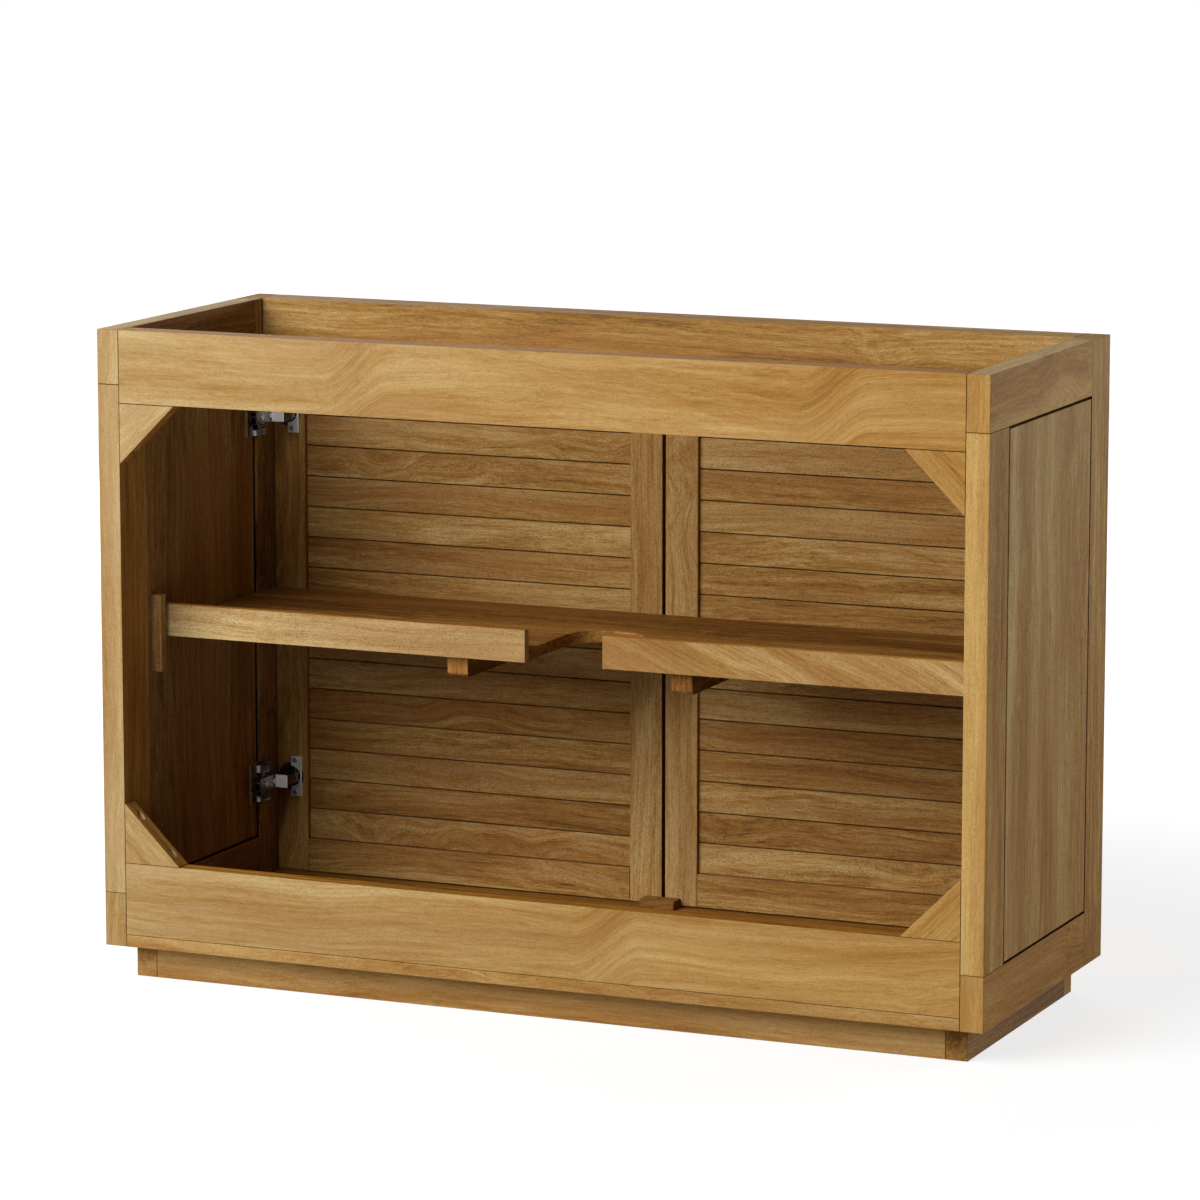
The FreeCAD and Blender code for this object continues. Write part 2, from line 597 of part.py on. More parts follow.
def hinge_mounts():
    """Packers, mounting plates, arms and cranks of the concealed hinges, on the side frames."""
    packer = board("hinge_packers", ("frame_thick - panel_thick", "packer_depth", "packer_height"),
                   (INNER, f"{FRONT} + stile_width + panel_gap", f"{HINGE_Z} - packer_height / 2"),
                   "fine_arris")
    both_sides(pair(packer), "hinge_{}_packers")

    place = (INNER, PLATE_Y, HINGE_Z)
    plate = body("hinge_plates", place)
    box(plate, ("plate_thick", "plate_depth", "plate_height"),
        ("0 - plate_thick", "0", "0 - plate_height / 2"))
    box(plate, ("spine_rise", "plate_depth", "spine_height"),
        ("0 - spine_rise", "0", "0 - spine_height / 2"))
    for low in ("0 - plate_height / 2", "plate_height / 2 - clip_height"):
        box(plate, ("clip_rise", "clip_depth", "clip_height"), ("0 - clip_rise", "clip_set", low))
    for way in ("-", "+"):
        rod(plate, HINGE_PILOT, "plate_thick",
            ("0 - plate_thick", "plate_screw_set", f"0 {way} plate_screw_apart / 2"), "+x")
    screw_places = ("arm_screw_front", "arm_screw_front + arm_screw_apart")
    for along in screw_places:
        rod(plate, HINGE_PILOT, "spine_rise", ("0 - spine_rise", along, "0"), "+x")
    both_sides(pair(plate), "hinge_{}_plates")

    arm = body("hinge_arms", place)
    box(arm, ("arm_rise - plate_thick", "arm_length", "arm_height"),
        ("0 - arm_rise", "fit", "0 - arm_height / 2"))
    box(arm, ("arm_rise", "arm_length", "arm_height - 2 * arm_wall"),
        ("arm_wall - arm_rise", "fit", "arm_wall - arm_height / 2"), "Subtractive")
    nose_x = "0 - arm_rise - crank_width"
    box(arm, ("crank_width + arm_wall", "crank_thick", "crank_height - 2 * arm_wall"),
        (nose_x, "fit", "arm_wall - crank_height / 2"))
    box(arm, ("nose_width", "plate_set - flange_thick - nose_clear + fit", "nose_height"),
        (nose_x, "flange_thick + nose_clear - plate_set", "0 - nose_height / 2"))
    for along in screw_places:
        rod(arm, HINGE_PILOT, "arm_wall", ("0 - arm_rise", along, "0"), "+x")
    both_sides(pair(arm), "hinge_{}_arms")

    crank = body("hinge_crank_caps", place)
    cap = box(crank, ("crank_width", "arm_wall", "crank_height"),
              ("0 - arm_rise - arm_wall - crank_width", "crank_thick + fit",
               "0 - crank_height / 2"))
    ease(crank, cap, "fine_arris")
    both_sides(pair(crank), "hinge_{}_crank_caps")

    frame_screw = screw("plate_screw", "hinge_screw_head", "hinge_screw_high",
                        "hinge_screw_shank", "plate_thick + hinge_screw_bite - fit")
    arm_screw = screw("arm_screw", "hinge_screw_head", "hinge_screw_high",
                      "hinge_screw_shank", "arm_rise - fit")
    copies = []
    for up in ("0", HINGE_APART):
        for way in ("-", "+"):
            copies.append(copy_to(frame_screw, (f"{INNER} - plate_thick",
                                                f"{PLATE_Y} + plate_screw_set",
                                                f"{HINGE_Z} + {up} {way} plate_screw_apart / 2"),
                                  "-x"))
        for along in screw_places:
            copies.append(copy_to(arm_screw, (f"{INNER} - arm_rise", f"{PLATE_Y} + {along}",
                                              f"{HINGE_Z} + {up}"), "-x"))
    both_sides(compound("hinge_screws", copies), "hinge_{}_screws")


def hinge_cups():
    """Cups let into the doors, their flanges and screws, and the links inside them."""
    place = (CUP_X, DOOR_BACK, HINGE_Z)
    cup = body("hinge_cups", place)
    rod(cup, "cup_diameter", "cup_depth", ("0", "0", "0"), "-y", "Additive")
    rod(cup, "cup_diameter + 2 * cup_rim", "cup_rim_thick", ("0", "0", "0"), "+y", "Additive")
    rod(cup, CUP_HOLLOW, "cup_depth - cup_floor + cup_rim_thick", ("0", "cup_rim_thick", "0"), "-y")
    flange_x = "(cup_edge - flange_edge)"
    box(cup, ("flange_width", "cup_rim_thick", "cup_diameter + 2 * cup_rim"),
        (flange_x, "0", "0 - cup_diameter / 2 - cup_rim"), "Subtractive")
    both_sides(pair(cup), "door_{}_hinge_cups")

    flange = body("hinge_flanges", place)
    strip = box(flange, ("flange_width", "flange_thick", "flange_height"),
                (flange_x, "0", "0 - flange_height / 2"))
    ease(flange, strip, "fine_arris")
    rod(flange, CUP_HOLLOW, "flange_thick", ("0", "0", "0"), "+y")
    screw_x = "cup_edge - cup_screw_edge"
    for way in ("-", "+"):
        rod(flange, HINGE_PILOT, "flange_thick", (screw_x, "0", f"0 {way} cup_screw_apart / 2"),
            "+y")
    both_sides(pair(flange), "door_{}_hinge_flanges")

    fastener = screw("cup_screw", "hinge_screw_head", "hinge_screw_high", "hinge_screw_shank",
                     "flange_thick + cup_screw_bite - fit")
    copies = []
    for up in ("0", HINGE_APART):
        for way in ("-", "+"):
            copies.append(copy_to(fastener, (f"{CUP_X} + {screw_x}", f"{DOOR_BACK} + flange_thick",
                                             f"{HINGE_Z} + {up} {way} cup_screw_apart / 2"), "+y"))
    both_sides(compound("cup_screws", copies), "door_{}_cup_screws")

    link = body("hinge_links", place)
    rod(link, "link_pin", "link_pin_length",
        ("0 - link_pin_set", "0 - link_pin_deep", "0 - link_pin_length / 2"), "+z", "Additive")
    box(link, ("link_width", "2 * link_pin_deep - cup_floor", "link_height"),
        ("0 - link_pin_set - link_width / 2", "cup_floor - 2 * link_pin_deep",
         "0 - link_height / 2"))
    both_sides(pair(link), "door_{}_hinge_links")


side_frames()
rails_and_boards()
gussets()
door_stop()
shelf()
plinth()
door_frames()
louvres()
hinge_mounts()
hinge_cups()
document.recompute()

for thing in document.Objects:
    if "Invalid" in thing.State or "Error" in thing.State:
        raise RuntimeError(f"{thing.Name} failed: {thing.State}")
for piece in kept:
    if piece.Shape.isNull() or not piece.Shape.isValid():
        raise RuntimeError(f"{piece.Label} has no valid shape")
os.makedirs("parts", exist_ok=True)
for piece in kept:
    piece.Shape.exportStep(f"parts/{piece.Label}.step")
print(len(kept), "nodes,", sum(len(piece.Shape.Solids) for piece in kept), "solids")
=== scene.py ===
import math

import bpy
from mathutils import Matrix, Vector


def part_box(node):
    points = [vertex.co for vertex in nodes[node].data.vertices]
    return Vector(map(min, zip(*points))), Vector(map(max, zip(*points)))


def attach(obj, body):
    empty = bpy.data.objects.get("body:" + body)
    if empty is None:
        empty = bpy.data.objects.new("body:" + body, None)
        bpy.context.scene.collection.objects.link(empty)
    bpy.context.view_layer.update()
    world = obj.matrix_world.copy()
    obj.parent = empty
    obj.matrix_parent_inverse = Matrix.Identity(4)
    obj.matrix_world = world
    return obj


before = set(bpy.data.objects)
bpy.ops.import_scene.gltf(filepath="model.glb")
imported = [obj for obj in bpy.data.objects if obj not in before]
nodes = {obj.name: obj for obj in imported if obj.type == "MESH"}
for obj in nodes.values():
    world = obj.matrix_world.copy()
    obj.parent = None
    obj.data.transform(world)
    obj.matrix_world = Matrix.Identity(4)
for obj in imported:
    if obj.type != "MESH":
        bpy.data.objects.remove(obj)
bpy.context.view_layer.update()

# ---------------------------------------------------------------------------
# Side frames: two five-piece frames in oiled golden hardwood.
# Each has a front and a rear stile, two rails between them and a solid panel
# that floats in their grooves behind a fine shadow gap.

WOOD_DARK = (0.130, 0.055, 0.014, 1)
WOOD_MID = (0.400, 0.208, 0.054, 1)
WOOD_PALE = (0.630, 0.430, 0.175, 1)
HEART_BROWN = (0.320, 0.138, 0.040, 1)
PORE_BROWN = (0.085, 0.035, 0.010, 1)
# The next colour is the shade painted along seams, grooves and slat gaps.
SEAM_SHADE = (0.012, 0.006, 0.003, 1)


def wire(tree, source, target):
    tree.links.new(source, target)


def maths(tree, operation, *values):
    node = tree.nodes.new("ShaderNodeMath")
    node.operation = operation
    for socket, value in zip(node.inputs, values):
        if isinstance(value, (int, float)):
            socket.default_value = value
        else:
            wire(tree, value, socket)
    return node.outputs[0]


def centred(tree, value):
    return maths(tree, "SUBTRACT", value, 0.5)


def vectors(tree, operation, *values):
    node = tree.nodes.new("ShaderNodeVectorMath")
    node.operation = operation
    for socket, value in zip(node.inputs, values):
        if isinstance(value, tuple):
            socket.default_value = value
        else:
            wire(tree, value, socket)
    return node.outputs[0]


def scaled(tree, vector, amount):
    """A vector, or a plain tuple, times a number that changes over the surface."""
    node = tree.nodes.new("ShaderNodeVectorMath")
    node.operation = "SCALE"
    if isinstance(vector, tuple):
        node.inputs[0].default_value = vector
    else:
        wire(tree, vector, node.inputs[0])
    wire(tree, amount, node.inputs["Scale"])
    return node.outputs[0]


def noise(tree, vector, scale, detail, roughness=0.55, output="Fac"):
    node = tree.nodes.new("ShaderNodeTexNoise")
    node.inputs["Scale"].default_value = 1
    node.inputs["Detail"].default_value = detail
    node.inputs["Roughness"].default_value = roughness
    wire(tree, vectors(tree, "MULTIPLY", vector, scale), node.inputs["Vector"])
    return node.outputs[output]


def remap(tree, value, low, high, out_low=0.0, out_high=1.0):
    node = tree.nodes.new("ShaderNodeMapRange")
    for socket, amount in zip(node.inputs[1:5], (low, high, out_low, out_high)):
        socket.default_value = amount
    wire(tree, value, node.inputs[0])
    return node.outputs[0]


def blend(tree, factor, first, second):
    """Mixes two colours, each a socket or a plain value."""
    node = tree.nodes.new("ShaderNodeMix")
    node.data_type = "RGBA"
    wire(tree, factor, node.inputs["Factor"])
    for socket, value in ((node.inputs[6], first), (node.inputs[7], second)):
        if isinstance(value, tuple):
            socket.default_value = value
        else:
            wire(tree, value, socket)
    return node.outputs[2]


def new_group(name, inlets, outlets):
    """An empty node group with named sockets."""
    tree = bpy.data.node_groups.new(name, "ShaderNodeTree")
    for way, sockets in (("INPUT", inlets), ("OUTPUT", outlets)):
        for label, kind in sockets.items():
            tree.interface.new_socket(label, in_out=way, socket_type="NodeSocket" + kind)
    return tree, tree.nodes.new("NodeGroupInput").outputs, tree.nodes.new("NodeGroupOutput").inputs


# Waves per metre of each part of the grain, along, across and through a board.
DRIFT_WAVES, CURL_WAVES, SWIRL_WAVES = (1.6, 4.5, 4.5), (2.3, 5.0, 5.0), (7, 9, 9)
BROAD_WAVES, HUE_WAVES = (0.9, 15.0, 15.0), (1.6, 17.0, 17.0)
STREAK_WAVES, LINE_WAVES = (3.5, 120.0, 120.0), (5.0, 340.0, 340.0)
FIBRE_WAVES, VESSEL_WAVES = (60.0, 620.0, 620.0), (300.0, 1500.0, 1500.0)
# The rings' waves are counted outwards from the heart and along it.
RING_WAVES, FINE_RING_WAVES = (150.0, 0.8, 1.0), (520.0, 1.5, 1.0)
# How far the grain wanders, in metres, and where it curls.
DRIFT_REACH, SWIRL_REACH = (0.0, 0.075, 0.075), (0.0, 0.07, 0.07)
CURL_FROM, CURL_TO = 0.52, 0.68
# How much each part changes the shade, and where the three browns lie on it.
MEAN_SHADE = 0.60
BROAD_SHARE, LINE_SHARE, FIBRE_SHARE, FINE_RING_SHARE = 1.15, 0.7, 0.7, 0.6
DARK_AT, MID_AT, PALE_AT = 0.10, 0.48, 0.92
# The browner heartwood, and the pores that crowd along the rings.
HEART_FROM, HEART_TO, HEART_SHARE = 0.40, 0.68, 0.6
HEART_STEEP, HEART_LEAST = 0.5, 0.45
CROWD_FROM, CROWD_TO, CROWD_SPARSE, CROWD_DENSE = 0.38, 0.62, 0.54, 0.44
PORE_SOFT, PORE_SHARE = 0.20, 0.52
OIL_ROUGH, STREAK_ROUGH, PORE_ROUGH, FIBRE_HIGH = 0.45, 0.2, 0.2, 0.35
STRAW_SHIFT = (-0.05, 0.06, 0.32)
HALF = (0.5, 0.5, 0.5)


def grain_group():
    """Solid timber: uneven growth rings round a wandering heart, streaks, fibres and pores."""
    tree, inlet, outlet = new_group(
        "timber grain", {"Board": "Vector", "Figure": "Float", "Tone": "Float", "Slope": "Float",
                         "Straw": "Float", "Contrast": "Float"},
        {"Color": "Color", "Roughness": "Float", "Height": "Float"})
    board = inlet["Board"]

    drift = noise(tree, board, DRIFT_WAVES, 2, 0.5, "Color")
    drift = vectors(tree, "MULTIPLY", vectors(tree, "SUBTRACT", drift, HALF), DRIFT_REACH)
    curl = remap(tree, noise(tree, board, CURL_WAVES, 1), CURL_FROM, CURL_TO)
    swirl = noise(tree, board, SWIRL_WAVES, 1, 0.5, "Color")
    swirl = vectors(tree, "MULTIPLY", vectors(tree, "SUBTRACT", swirl, HALF), SWIRL_REACH)
    flow = vectors(tree, "ADD", vectors(tree, "ADD", board, drift), scaled(tree, swirl, curl))
    split = tree.nodes.new("ShaderNodeSeparateXYZ")
    wire(tree, flow, split.inputs[0])
    deep = maths(tree, "MULTIPLY_ADD", split.outputs["X"], inlet["Slope"], split.outputs["Z"])
    radius = maths(tree, "SQRT", maths(tree, "ADD", maths(tree, "POWER", split.outputs["Y"], 2.0),
                                       maths(tree, "POWER", deep, 2.0)))
    polar = tree.nodes.new("ShaderNodeCombineXYZ")
    wire(tree, radius, polar.inputs["X"])
    wire(tree, split.outputs["X"], polar.inputs["Y"])
    rings = noise(tree, polar.outputs[0], RING_WAVES, 3, 0.6)
    fine_rings = noise(tree, polar.outputs[0], FINE_RING_WAVES, 2, 0.6)

    broad = noise(tree, flow, BROAD_WAVES, 3)
    hue = noise(tree, flow, HUE_WAVES, 2, 0.6)
    streak = noise(tree, flow, STREAK_WAVES, 4, 0.62)
    lines = noise(tree, flow, LINE_WAVES, 3, 0.65)
    fibre = noise(tree, flow, FIBRE_WAVES, 2, 0.7)
    vessels = noise(tree, flow, VESSEL_WAVES, 1, 0.6)
    crowd = remap(tree, rings, CROWD_FROM, CROWD_TO, CROWD_SPARSE, CROWD_DENSE)
    pore = remap(tree, maths(tree, "SUBTRACT", vessels, crowd), 0.0, PORE_SOFT)

    shade = maths(tree, "MULTIPLY_ADD", centred(tree, broad), BROAD_SHARE, MEAN_SHADE)
    fine = centred(tree, streak)
    fine = maths(tree, "MULTIPLY_ADD", centred(tree, lines), LINE_SHARE, fine)
    fine = maths(tree, "MULTIPLY_ADD", centred(tree, fibre), FIBRE_SHARE, fine)
    shade = maths(tree, "MULTIPLY_ADD", fine, inlet["Contrast"], shade)
    shade = maths(tree, "MULTIPLY_ADD", centred(tree, rings), inlet["Figure"], shade)
    shade = maths(tree, "MULTIPLY_ADD", centred(tree, fine_rings),
                  maths(tree, "MULTIPLY", inlet["Figure"], FINE_RING_SHARE), shade)
    shade = maths(tree, "ADD", shade, inlet["Tone"])
    ramp = tree.nodes.new("ShaderNodeValToRGB")
    darkest, palest = ramp.color_ramp.elements
    darkest.position, darkest.color = DARK_AT, WOOD_DARK
    palest.position, palest.color = PALE_AT, WOOD_PALE
    ramp.color_ramp.elements.new(MID_AT).color = WOOD_MID
    wire(tree, shade, ramp.inputs[0])
    heart = maths(tree, "MULTIPLY", remap(tree, hue, HEART_FROM, HEART_TO, 0.0, HEART_SHARE),
                  maths(tree, "MULTIPLY_ADD", inlet["Contrast"], HEART_STEEP, HEART_LEAST))
    colour = blend(tree, heart, ramp.outputs["Color"], HEART_BROWN)
    stain = maths(tree, "MULTIPLY", maths(tree, "MULTIPLY", pore, PORE_SHARE), inlet["Contrast"])
    colour = blend(tree, stain, colour, PORE_BROWN)
    cast = vectors(tree, "ADD", scaled(tree, STRAW_SHIFT, inlet["Straw"]), (1.0, 1.0, 1.0))
    wire(tree, vectors(tree, "MULTIPLY", colour, cast), outlet["Color"])
    gloss = maths(tree, "MULTIPLY_ADD", streak, STREAK_ROUGH, OIL_ROUGH)
    wire(tree, maths(tree, "MULTIPLY_ADD", pore, PORE_ROUGH, gloss), outlet["Roughness"])
    wire(tree, maths(tree, "SUBTRACT", maths(tree, "MULTIPLY", fibre, FIBRE_HIGH), pore),
         outlet["Height"])
    return tree


# How far from a seam, and how strongly, its painted shade darkens the wood.
SEAM_HALF, SEAM_DEPTH = 0.0008, 0.92
SEAM_INNER, SEAM_OUTER = SEAM_HALF * 0.6, SEAM_HALF * 1.5


def seam_group():
    """Painted shade where a board's end meets its neighbour. Low and High are the planes it ends
    at.
    """
    tree, inlet, outlet = new_group("seam shadow", {"Place": "Vector", "Low": "Vector",
                                                    "High": "Vector"}, {"Mask": "Float"})
    nearest = vectors(tree, "MINIMUM", vectors(tree, "SUBTRACT", inlet["Place"], inlet["Low"]),
                      vectors(tree, "SUBTRACT", inlet["High"], inlet["Place"]))
    split = tree.nodes.new("ShaderNodeSeparateXYZ")
    wire(tree, nearest, split.inputs[0])
    least = maths(tree, "MINIMUM", maths(tree, "MINIMUM", split.outputs[0], split.outputs[1]),
                  split.outputs[2])
    wire(tree, remap(tree, least, SEAM_INNER, SEAM_OUTER, SEAM_DEPTH, 0.0), outlet["Mask"])
    return tree


KNOT_SPREAD, KNOT_DROP, KNOT_DARKER = 0.048, -0.055, -0.22


def bend_group():
    """Grain that steps aside past a hidden knot. Shift runs from 0 to 1 towards the left side
    of the cabinet, and Patch is the browner wood where the grain is steepest."""
    tree, inlet, outlet = new_group("grain bend", {"Place": "Vector", "Middle": "Float",
                                                   "Spread": "Float"},
                                    {"Shift": "Float", "Patch": "Float"})
    split = tree.nodes.new("ShaderNodeSeparateXYZ")
    wire(tree, inlet["Place"], split.inputs[0])
    past = maths(tree, "DIVIDE", maths(tree, "SUBTRACT", inlet["Middle"], split.outputs["X"]),
                 inlet["Spread"])
    step = tree.nodes.new("ShaderNodeMapRange")
    step.interpolation_type = "SMOOTHSTEP"
    step.inputs["From Min"].default_value = -1
    wire(tree, past, step.inputs["Value"])
    shift = step.outputs[0]
    wire(tree, shift, outlet["Shift"])
    wire(tree, maths(tree, "MULTIPLY", maths(tree, "SUBTRACT", 1.0, shift), shift),
         outlet["Patch"])
    return tree


GRAIN = grain_group()
SEAM = seam_group()
BEND = bend_group()
ALONG_X = (0, 0, 0)
ALONG_Y = (0, 0, math.radians(-90))
ALONG_Z = (0, math.radians(90), 0)
FAR = 9.0
# The painted sheen's straw at the left and right sides, and how far from the middle it reaches
# them.
SHEEN_STRAW_AT_LEFT, SHEEN_STRAW_AT_RIGHT, SHEEN_STRAW_REACH = -0.65, 0.8, 0.6
OIL_SHEEN, FAINT_SHEEN = 0.05, 0.02
BUMP_STRENGTH, BUMP_DEEP = 0.3, 0.0002
# How far each slat's grain and tone move from the next, and how softly the painted shade in the
# gaps fades.
PLANK_STEP, PLANK_TONE, GAP_SHADE_SOFT = (3.0, 0.35, 0.16), 0.08, 1.9


def timber(name, grain, cut, figure=0.3, tone=0.0, slope=0.05, seams=None, rows=None, straw=0.0,
           contrast=1.0, sheen=OIL_SHEEN, knots=()):
    """Oiled timber for one board. grain turns its length onto X, and cut is where it lay in its
    log, in metres. figure is how plainly the rings show, and slope how far they run out of the
    board. straw is how far its colour leans to yellow, or None for a painted sheen that yellows
    it towards the right side. contrast is how plainly streaks and pores show, and sheen how much
    the oil reflects.
    seams are the planes where its neighbours start, from joined(), along which shade is painted.
    rows are the foot, the step and half the gap of a stack of slats, each a plank of its own,
    with a line of painted shade along each gap. knots are the places along X where the grain
    steps aside."""
    material = bpy.data.materials.new(name)
    material.use_nodes = True
    tree = material.node_tree
    shader = tree.nodes["Principled BSDF"]
    place = tree.nodes.new("ShaderNodeTexCoord").outputs["Object"]
    lay = tree.nodes.new("ShaderNodeMapping")
    lay.inputs["Rotation"].default_value = grain
    lay.inputs["Location"].default_value = cut
    wire(tree, place, lay.inputs["Vector"])
    board = lay.outputs["Vector"]
    group = tree.nodes.new("ShaderNodeGroup")
    group.node_tree = GRAIN
    group.inputs["Figure"].default_value = figure
    group.inputs["Tone"].default_value = tone
    group.inputs["Slope"].default_value = slope
    group.inputs["Straw"].default_value = straw or 0.0
    group.inputs["Contrast"].default_value = contrast
    where = tree.nodes.new("ShaderNodeSeparateXYZ")
    wire(tree, place, where.inputs[0])
    # Painted sheen: the colour turns yellower towards the right side and more orange towards the
    # left.
    if straw is None:
        wire(tree, remap(tree, where.outputs["X"], -SHEEN_STRAW_REACH, SHEEN_STRAW_REACH, SHEEN_STRAW_AT_LEFT,
                         SHEEN_STRAW_AT_RIGHT), group.inputs["Straw"])
    seam = tree.nodes.new("ShaderNodeGroup")
    seam.node_tree = SEAM
    wire(tree, place, seam.inputs["Place"])
    low, high = seams or ((-FAR,) * 3, (FAR,) * 3)
    seam.inputs["Low"].default_value = low
    seam.inputs["High"].default_value = high
    # dark is the painted shade along the seams, and below also along the gaps between slats.
    dark = seam.outputs["Mask"]
    if rows:
        start, step, half_gap = rows
        height = maths(tree, "DIVIDE", maths(tree, "SUBTRACT", where.outputs["Z"], start), step)
        chance = tree.nodes.new("ShaderNodeTexWhiteNoise")
        chance.noise_dimensions = "1D"
        wire(tree, maths(tree, "FLOOR", height), chance.inputs["W"])
        board = vectors(tree, "MULTIPLY_ADD", chance.outputs["Color"], PLANK_STEP, board)
        wire(tree, remap(tree, chance.outputs["Value"], 0, 1, tone - PLANK_TONE,
                         tone + PLANK_TONE), group.inputs["Tone"])
        # A line of painted shade runs along each gap between two slats.
        away = maths(tree, "PINGPONG", height, 0.5)
        edge = half_gap / step
        dark = maths(tree, "MAXIMUM", dark,
                     remap(tree, away, edge, edge * GAP_SHADE_SOFT, SEAM_DEPTH, 0.0))
    for middle in knots:
        bend = tree.nodes.new("ShaderNodeGroup")
        bend.node_tree = BEND
        wire(tree, place, bend.inputs["Place"])
        bend.inputs["Middle"].default_value = middle
        bend.inputs["Spread"].default_value = KNOT_SPREAD
        board = vectors(tree, "MULTIPLY_ADD", bend.outputs["Shift"], (0, 0, KNOT_DROP), board)
        tone = maths(tree, "MULTIPLY_ADD", bend.outputs["Patch"], KNOT_DARKER, tone)
        wire(tree, tone, group.inputs["Tone"])
    wire(tree, board, group.inputs["Board"])
    wire(tree, blend(tree, dark, group.outputs["Color"], SEAM_SHADE), shader.inputs["Base Color"])
    wire(tree, group.outputs["Roughness"], shader.inputs["Roughness"])
    bump = tree.nodes.new("ShaderNodeBump")
    bump.inputs["Strength"].default_value = BUMP_STRENGTH
    bump.inputs["Distance"].default_value = BUMP_DEEP
    wire(tree, group.outputs["Height"], bump.inputs["Height"])
    wire(tree, bump.outputs["Normal"], shader.inputs["Normal"])
    shader.inputs["Specular IOR Level"].default_value = sheen
    return material


def joined(node, sides, inset=0.0):
    """The planes of a board's joined sides, such as "-x +x", for the shade painted along its
    seams.
    """
    low, high = [-FAR] * 3, [FAR] * 3
    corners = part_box(node)
    for side in sides.split():
        axis = "xyz".index(side[1])
        if side[0] == "-":
            low[axis] = corners[0][axis] + inset
        else:
            high[axis] = corners[1][axis] - inset
    return tuple(low), tuple(high)


SQUARE_ON = 0.9


def facing(*direction):
    """A test for the faces that look in one direction."""
    return lambda face: face.normal.dot(Vector(direction)) > SQUARE_ON


def dress(node, material, *others):
    """Gives a CAD node a material, and each (test, material) pair the faces that pass."""
    mesh = nodes[node].data
    mesh.materials.clear()
    for each in (material, *(pair[1] for pair in others)):
        mesh.materials.append(each)
    for polygon in mesh.polygons:
        polygon.material_index = 0
        for number, (test, _) in enumerate(others, 1):
            if test(polygon):
                polygon.material_index = number


UP, DOWN, REAR, AHEAD = facing(0, 0, 1), facing(0, 0, -1), facing(0, 1, 0), facing(0, -1, 0)
PANEL_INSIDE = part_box("side_right_panel")[0][0]
# Beyond TONGUE_SHOWN in from the panel's edges, its tongue is painted dark as the shade in its
# groove.
TONGUE_SHOWN = 0.0082

for side, turn, sign in (("right", 0.0, 1), ("left", 1.0, -1)):
    # The faces that meet a panel are painted dark outward of the panel's inner face, as the shade
    # in its groove.
    groove_shade = ((-FAR,) * 3, (PANEL_INSIDE, FAR, FAR)) if sign > 0 else (
        (-PANEL_INSIDE, -FAR, -FAR), (FAR,) * 3)

    # Faces towards the inside of the cabinet get darker copies of the wood as painted shade, as
    # does the rear stile's outer face.
    cut = (3.1 + turn, 0.31, 0.42 + turn)
    dress(f"side_{side}_front_stile", timber(f"{side} front stile", ALONG_Z, cut, 0.25, 0.02,
                                             sheen=FAINT_SHEEN),
          (REAR, timber(f"{side} front stile groove", ALONG_Z, cut, 0.25, seams=groove_shade)),
          (facing(-sign, 0, 0), timber(f"{side} front stile inside", ALONG_Z, cut, 0.25, -0.12,
                                       straw=1.0)))
    node = f"side_{side}_rear_stile"
    cut = (5.3 + turn, -0.13, 0.55 + turn)
    dress(node, timber(f"{side} rear stile", ALONG_Z, cut, 0.2, 0.08, straw=None,
                       seams=joined(node, "-z +z"), contrast=0.6),
          (AHEAD, timber(f"{side} rear stile groove", ALONG_Z, cut, 0.2, 0.08, seams=groove_shade)),
          (facing(-sign, 0, 0), timber(f"{side} rear stile inside", ALONG_Z, cut, 0.3, -0.10,
                                       straw=-0.9)),
          (facing(sign, 0, 0), timber(f"{side} rear stile outside", ALONG_Z, cut, 0.3, -0.02,
                                      seams=joined(node, "-z +z"), straw=-0.1, sheen=FAINT_SHEEN)))
    # The rails' inner faces take a darker tone and their own straw, as painted shade.
    for level, offcut, inward, inside_shade_tone, inside_shade_straw in (("top", -0.55, DOWN, -0.21, -0.1),
                                                             ("bottom", 0.30, UP, -0.14, 1.0)):
        node = f"side_{side}_{level}_rail"
        name = f"{side} side {level} rail"
        seams = joined(node, "-y")
        cut = (7.7 + turn - offcut, 0.52, offcut)
        faces = [(REAR, timber(f"{name} end", ALONG_Z, (2.2 + turn, 0.1, 0.4 - offcut), 0.2, 0.06,
                               seams=seams, straw=None, contrast=0.6)),
                 (inward, timber(f"{name} groove", ALONG_Y, cut, 0.4, seams=groove_shade))]
        # The top rail's upper face gets a paler copy of the wood as painted light.
        if level == "top":
            faces.append((UP, timber(f"{name} edge", ALONG_Y, cut, 0.3, 0.40, seams=seams,
                                     straw=0.4)))
        faces.append((facing(-sign, 0, 0),
                      timber(f"{name} inside", ALONG_Y, cut, 0.3, inside_shade_tone, seams=seams,
                             straw=inside_shade_straw)))
        dress(node, timber(name, ALONG_Y, cut, 0.4, -0.02, seams=seams, straw=-0.4, contrast=0.8,
                           sheen=FAINT_SHEEN), *faces)
    # The panel's inner face is a darker copy of its wood, as painted shade.
    node = f"side_{side}_panel"
    cut = (1.4 + turn, 0.17, 0.48 + 2.1 * turn)
    seams = joined(node, "-y +y -z +z", TONGUE_SHOWN)
    dress(node, timber(f"{side} side panel", ALONG_Z, cut, 0.45, 0.05, seams=seams, straw=0.3,
                       contrast=0.9, sheen=FAINT_SHEEN),
          (facing(-sign, 0, 0), timber(f"{side} side panel inside", ALONG_Z, cut, 0.45, -0.04,
                                       seams=seams, straw=0.6, contrast=1.2)))

# ---------------------------------------------------------------------------
# Cross rails and boards: the wide rails that tie the side frames together, the
# bottom board, and at the front the face rail with the stretcher behind it.
# They are planed hardwood, butted between the side frames.

KNOTS = {"rear_top_rail": (0.24, -0.41), "rear_bottom_rail": (-0.107,)}
DULL_TOPS = ("rear_bottom_rail", "bottom_board")

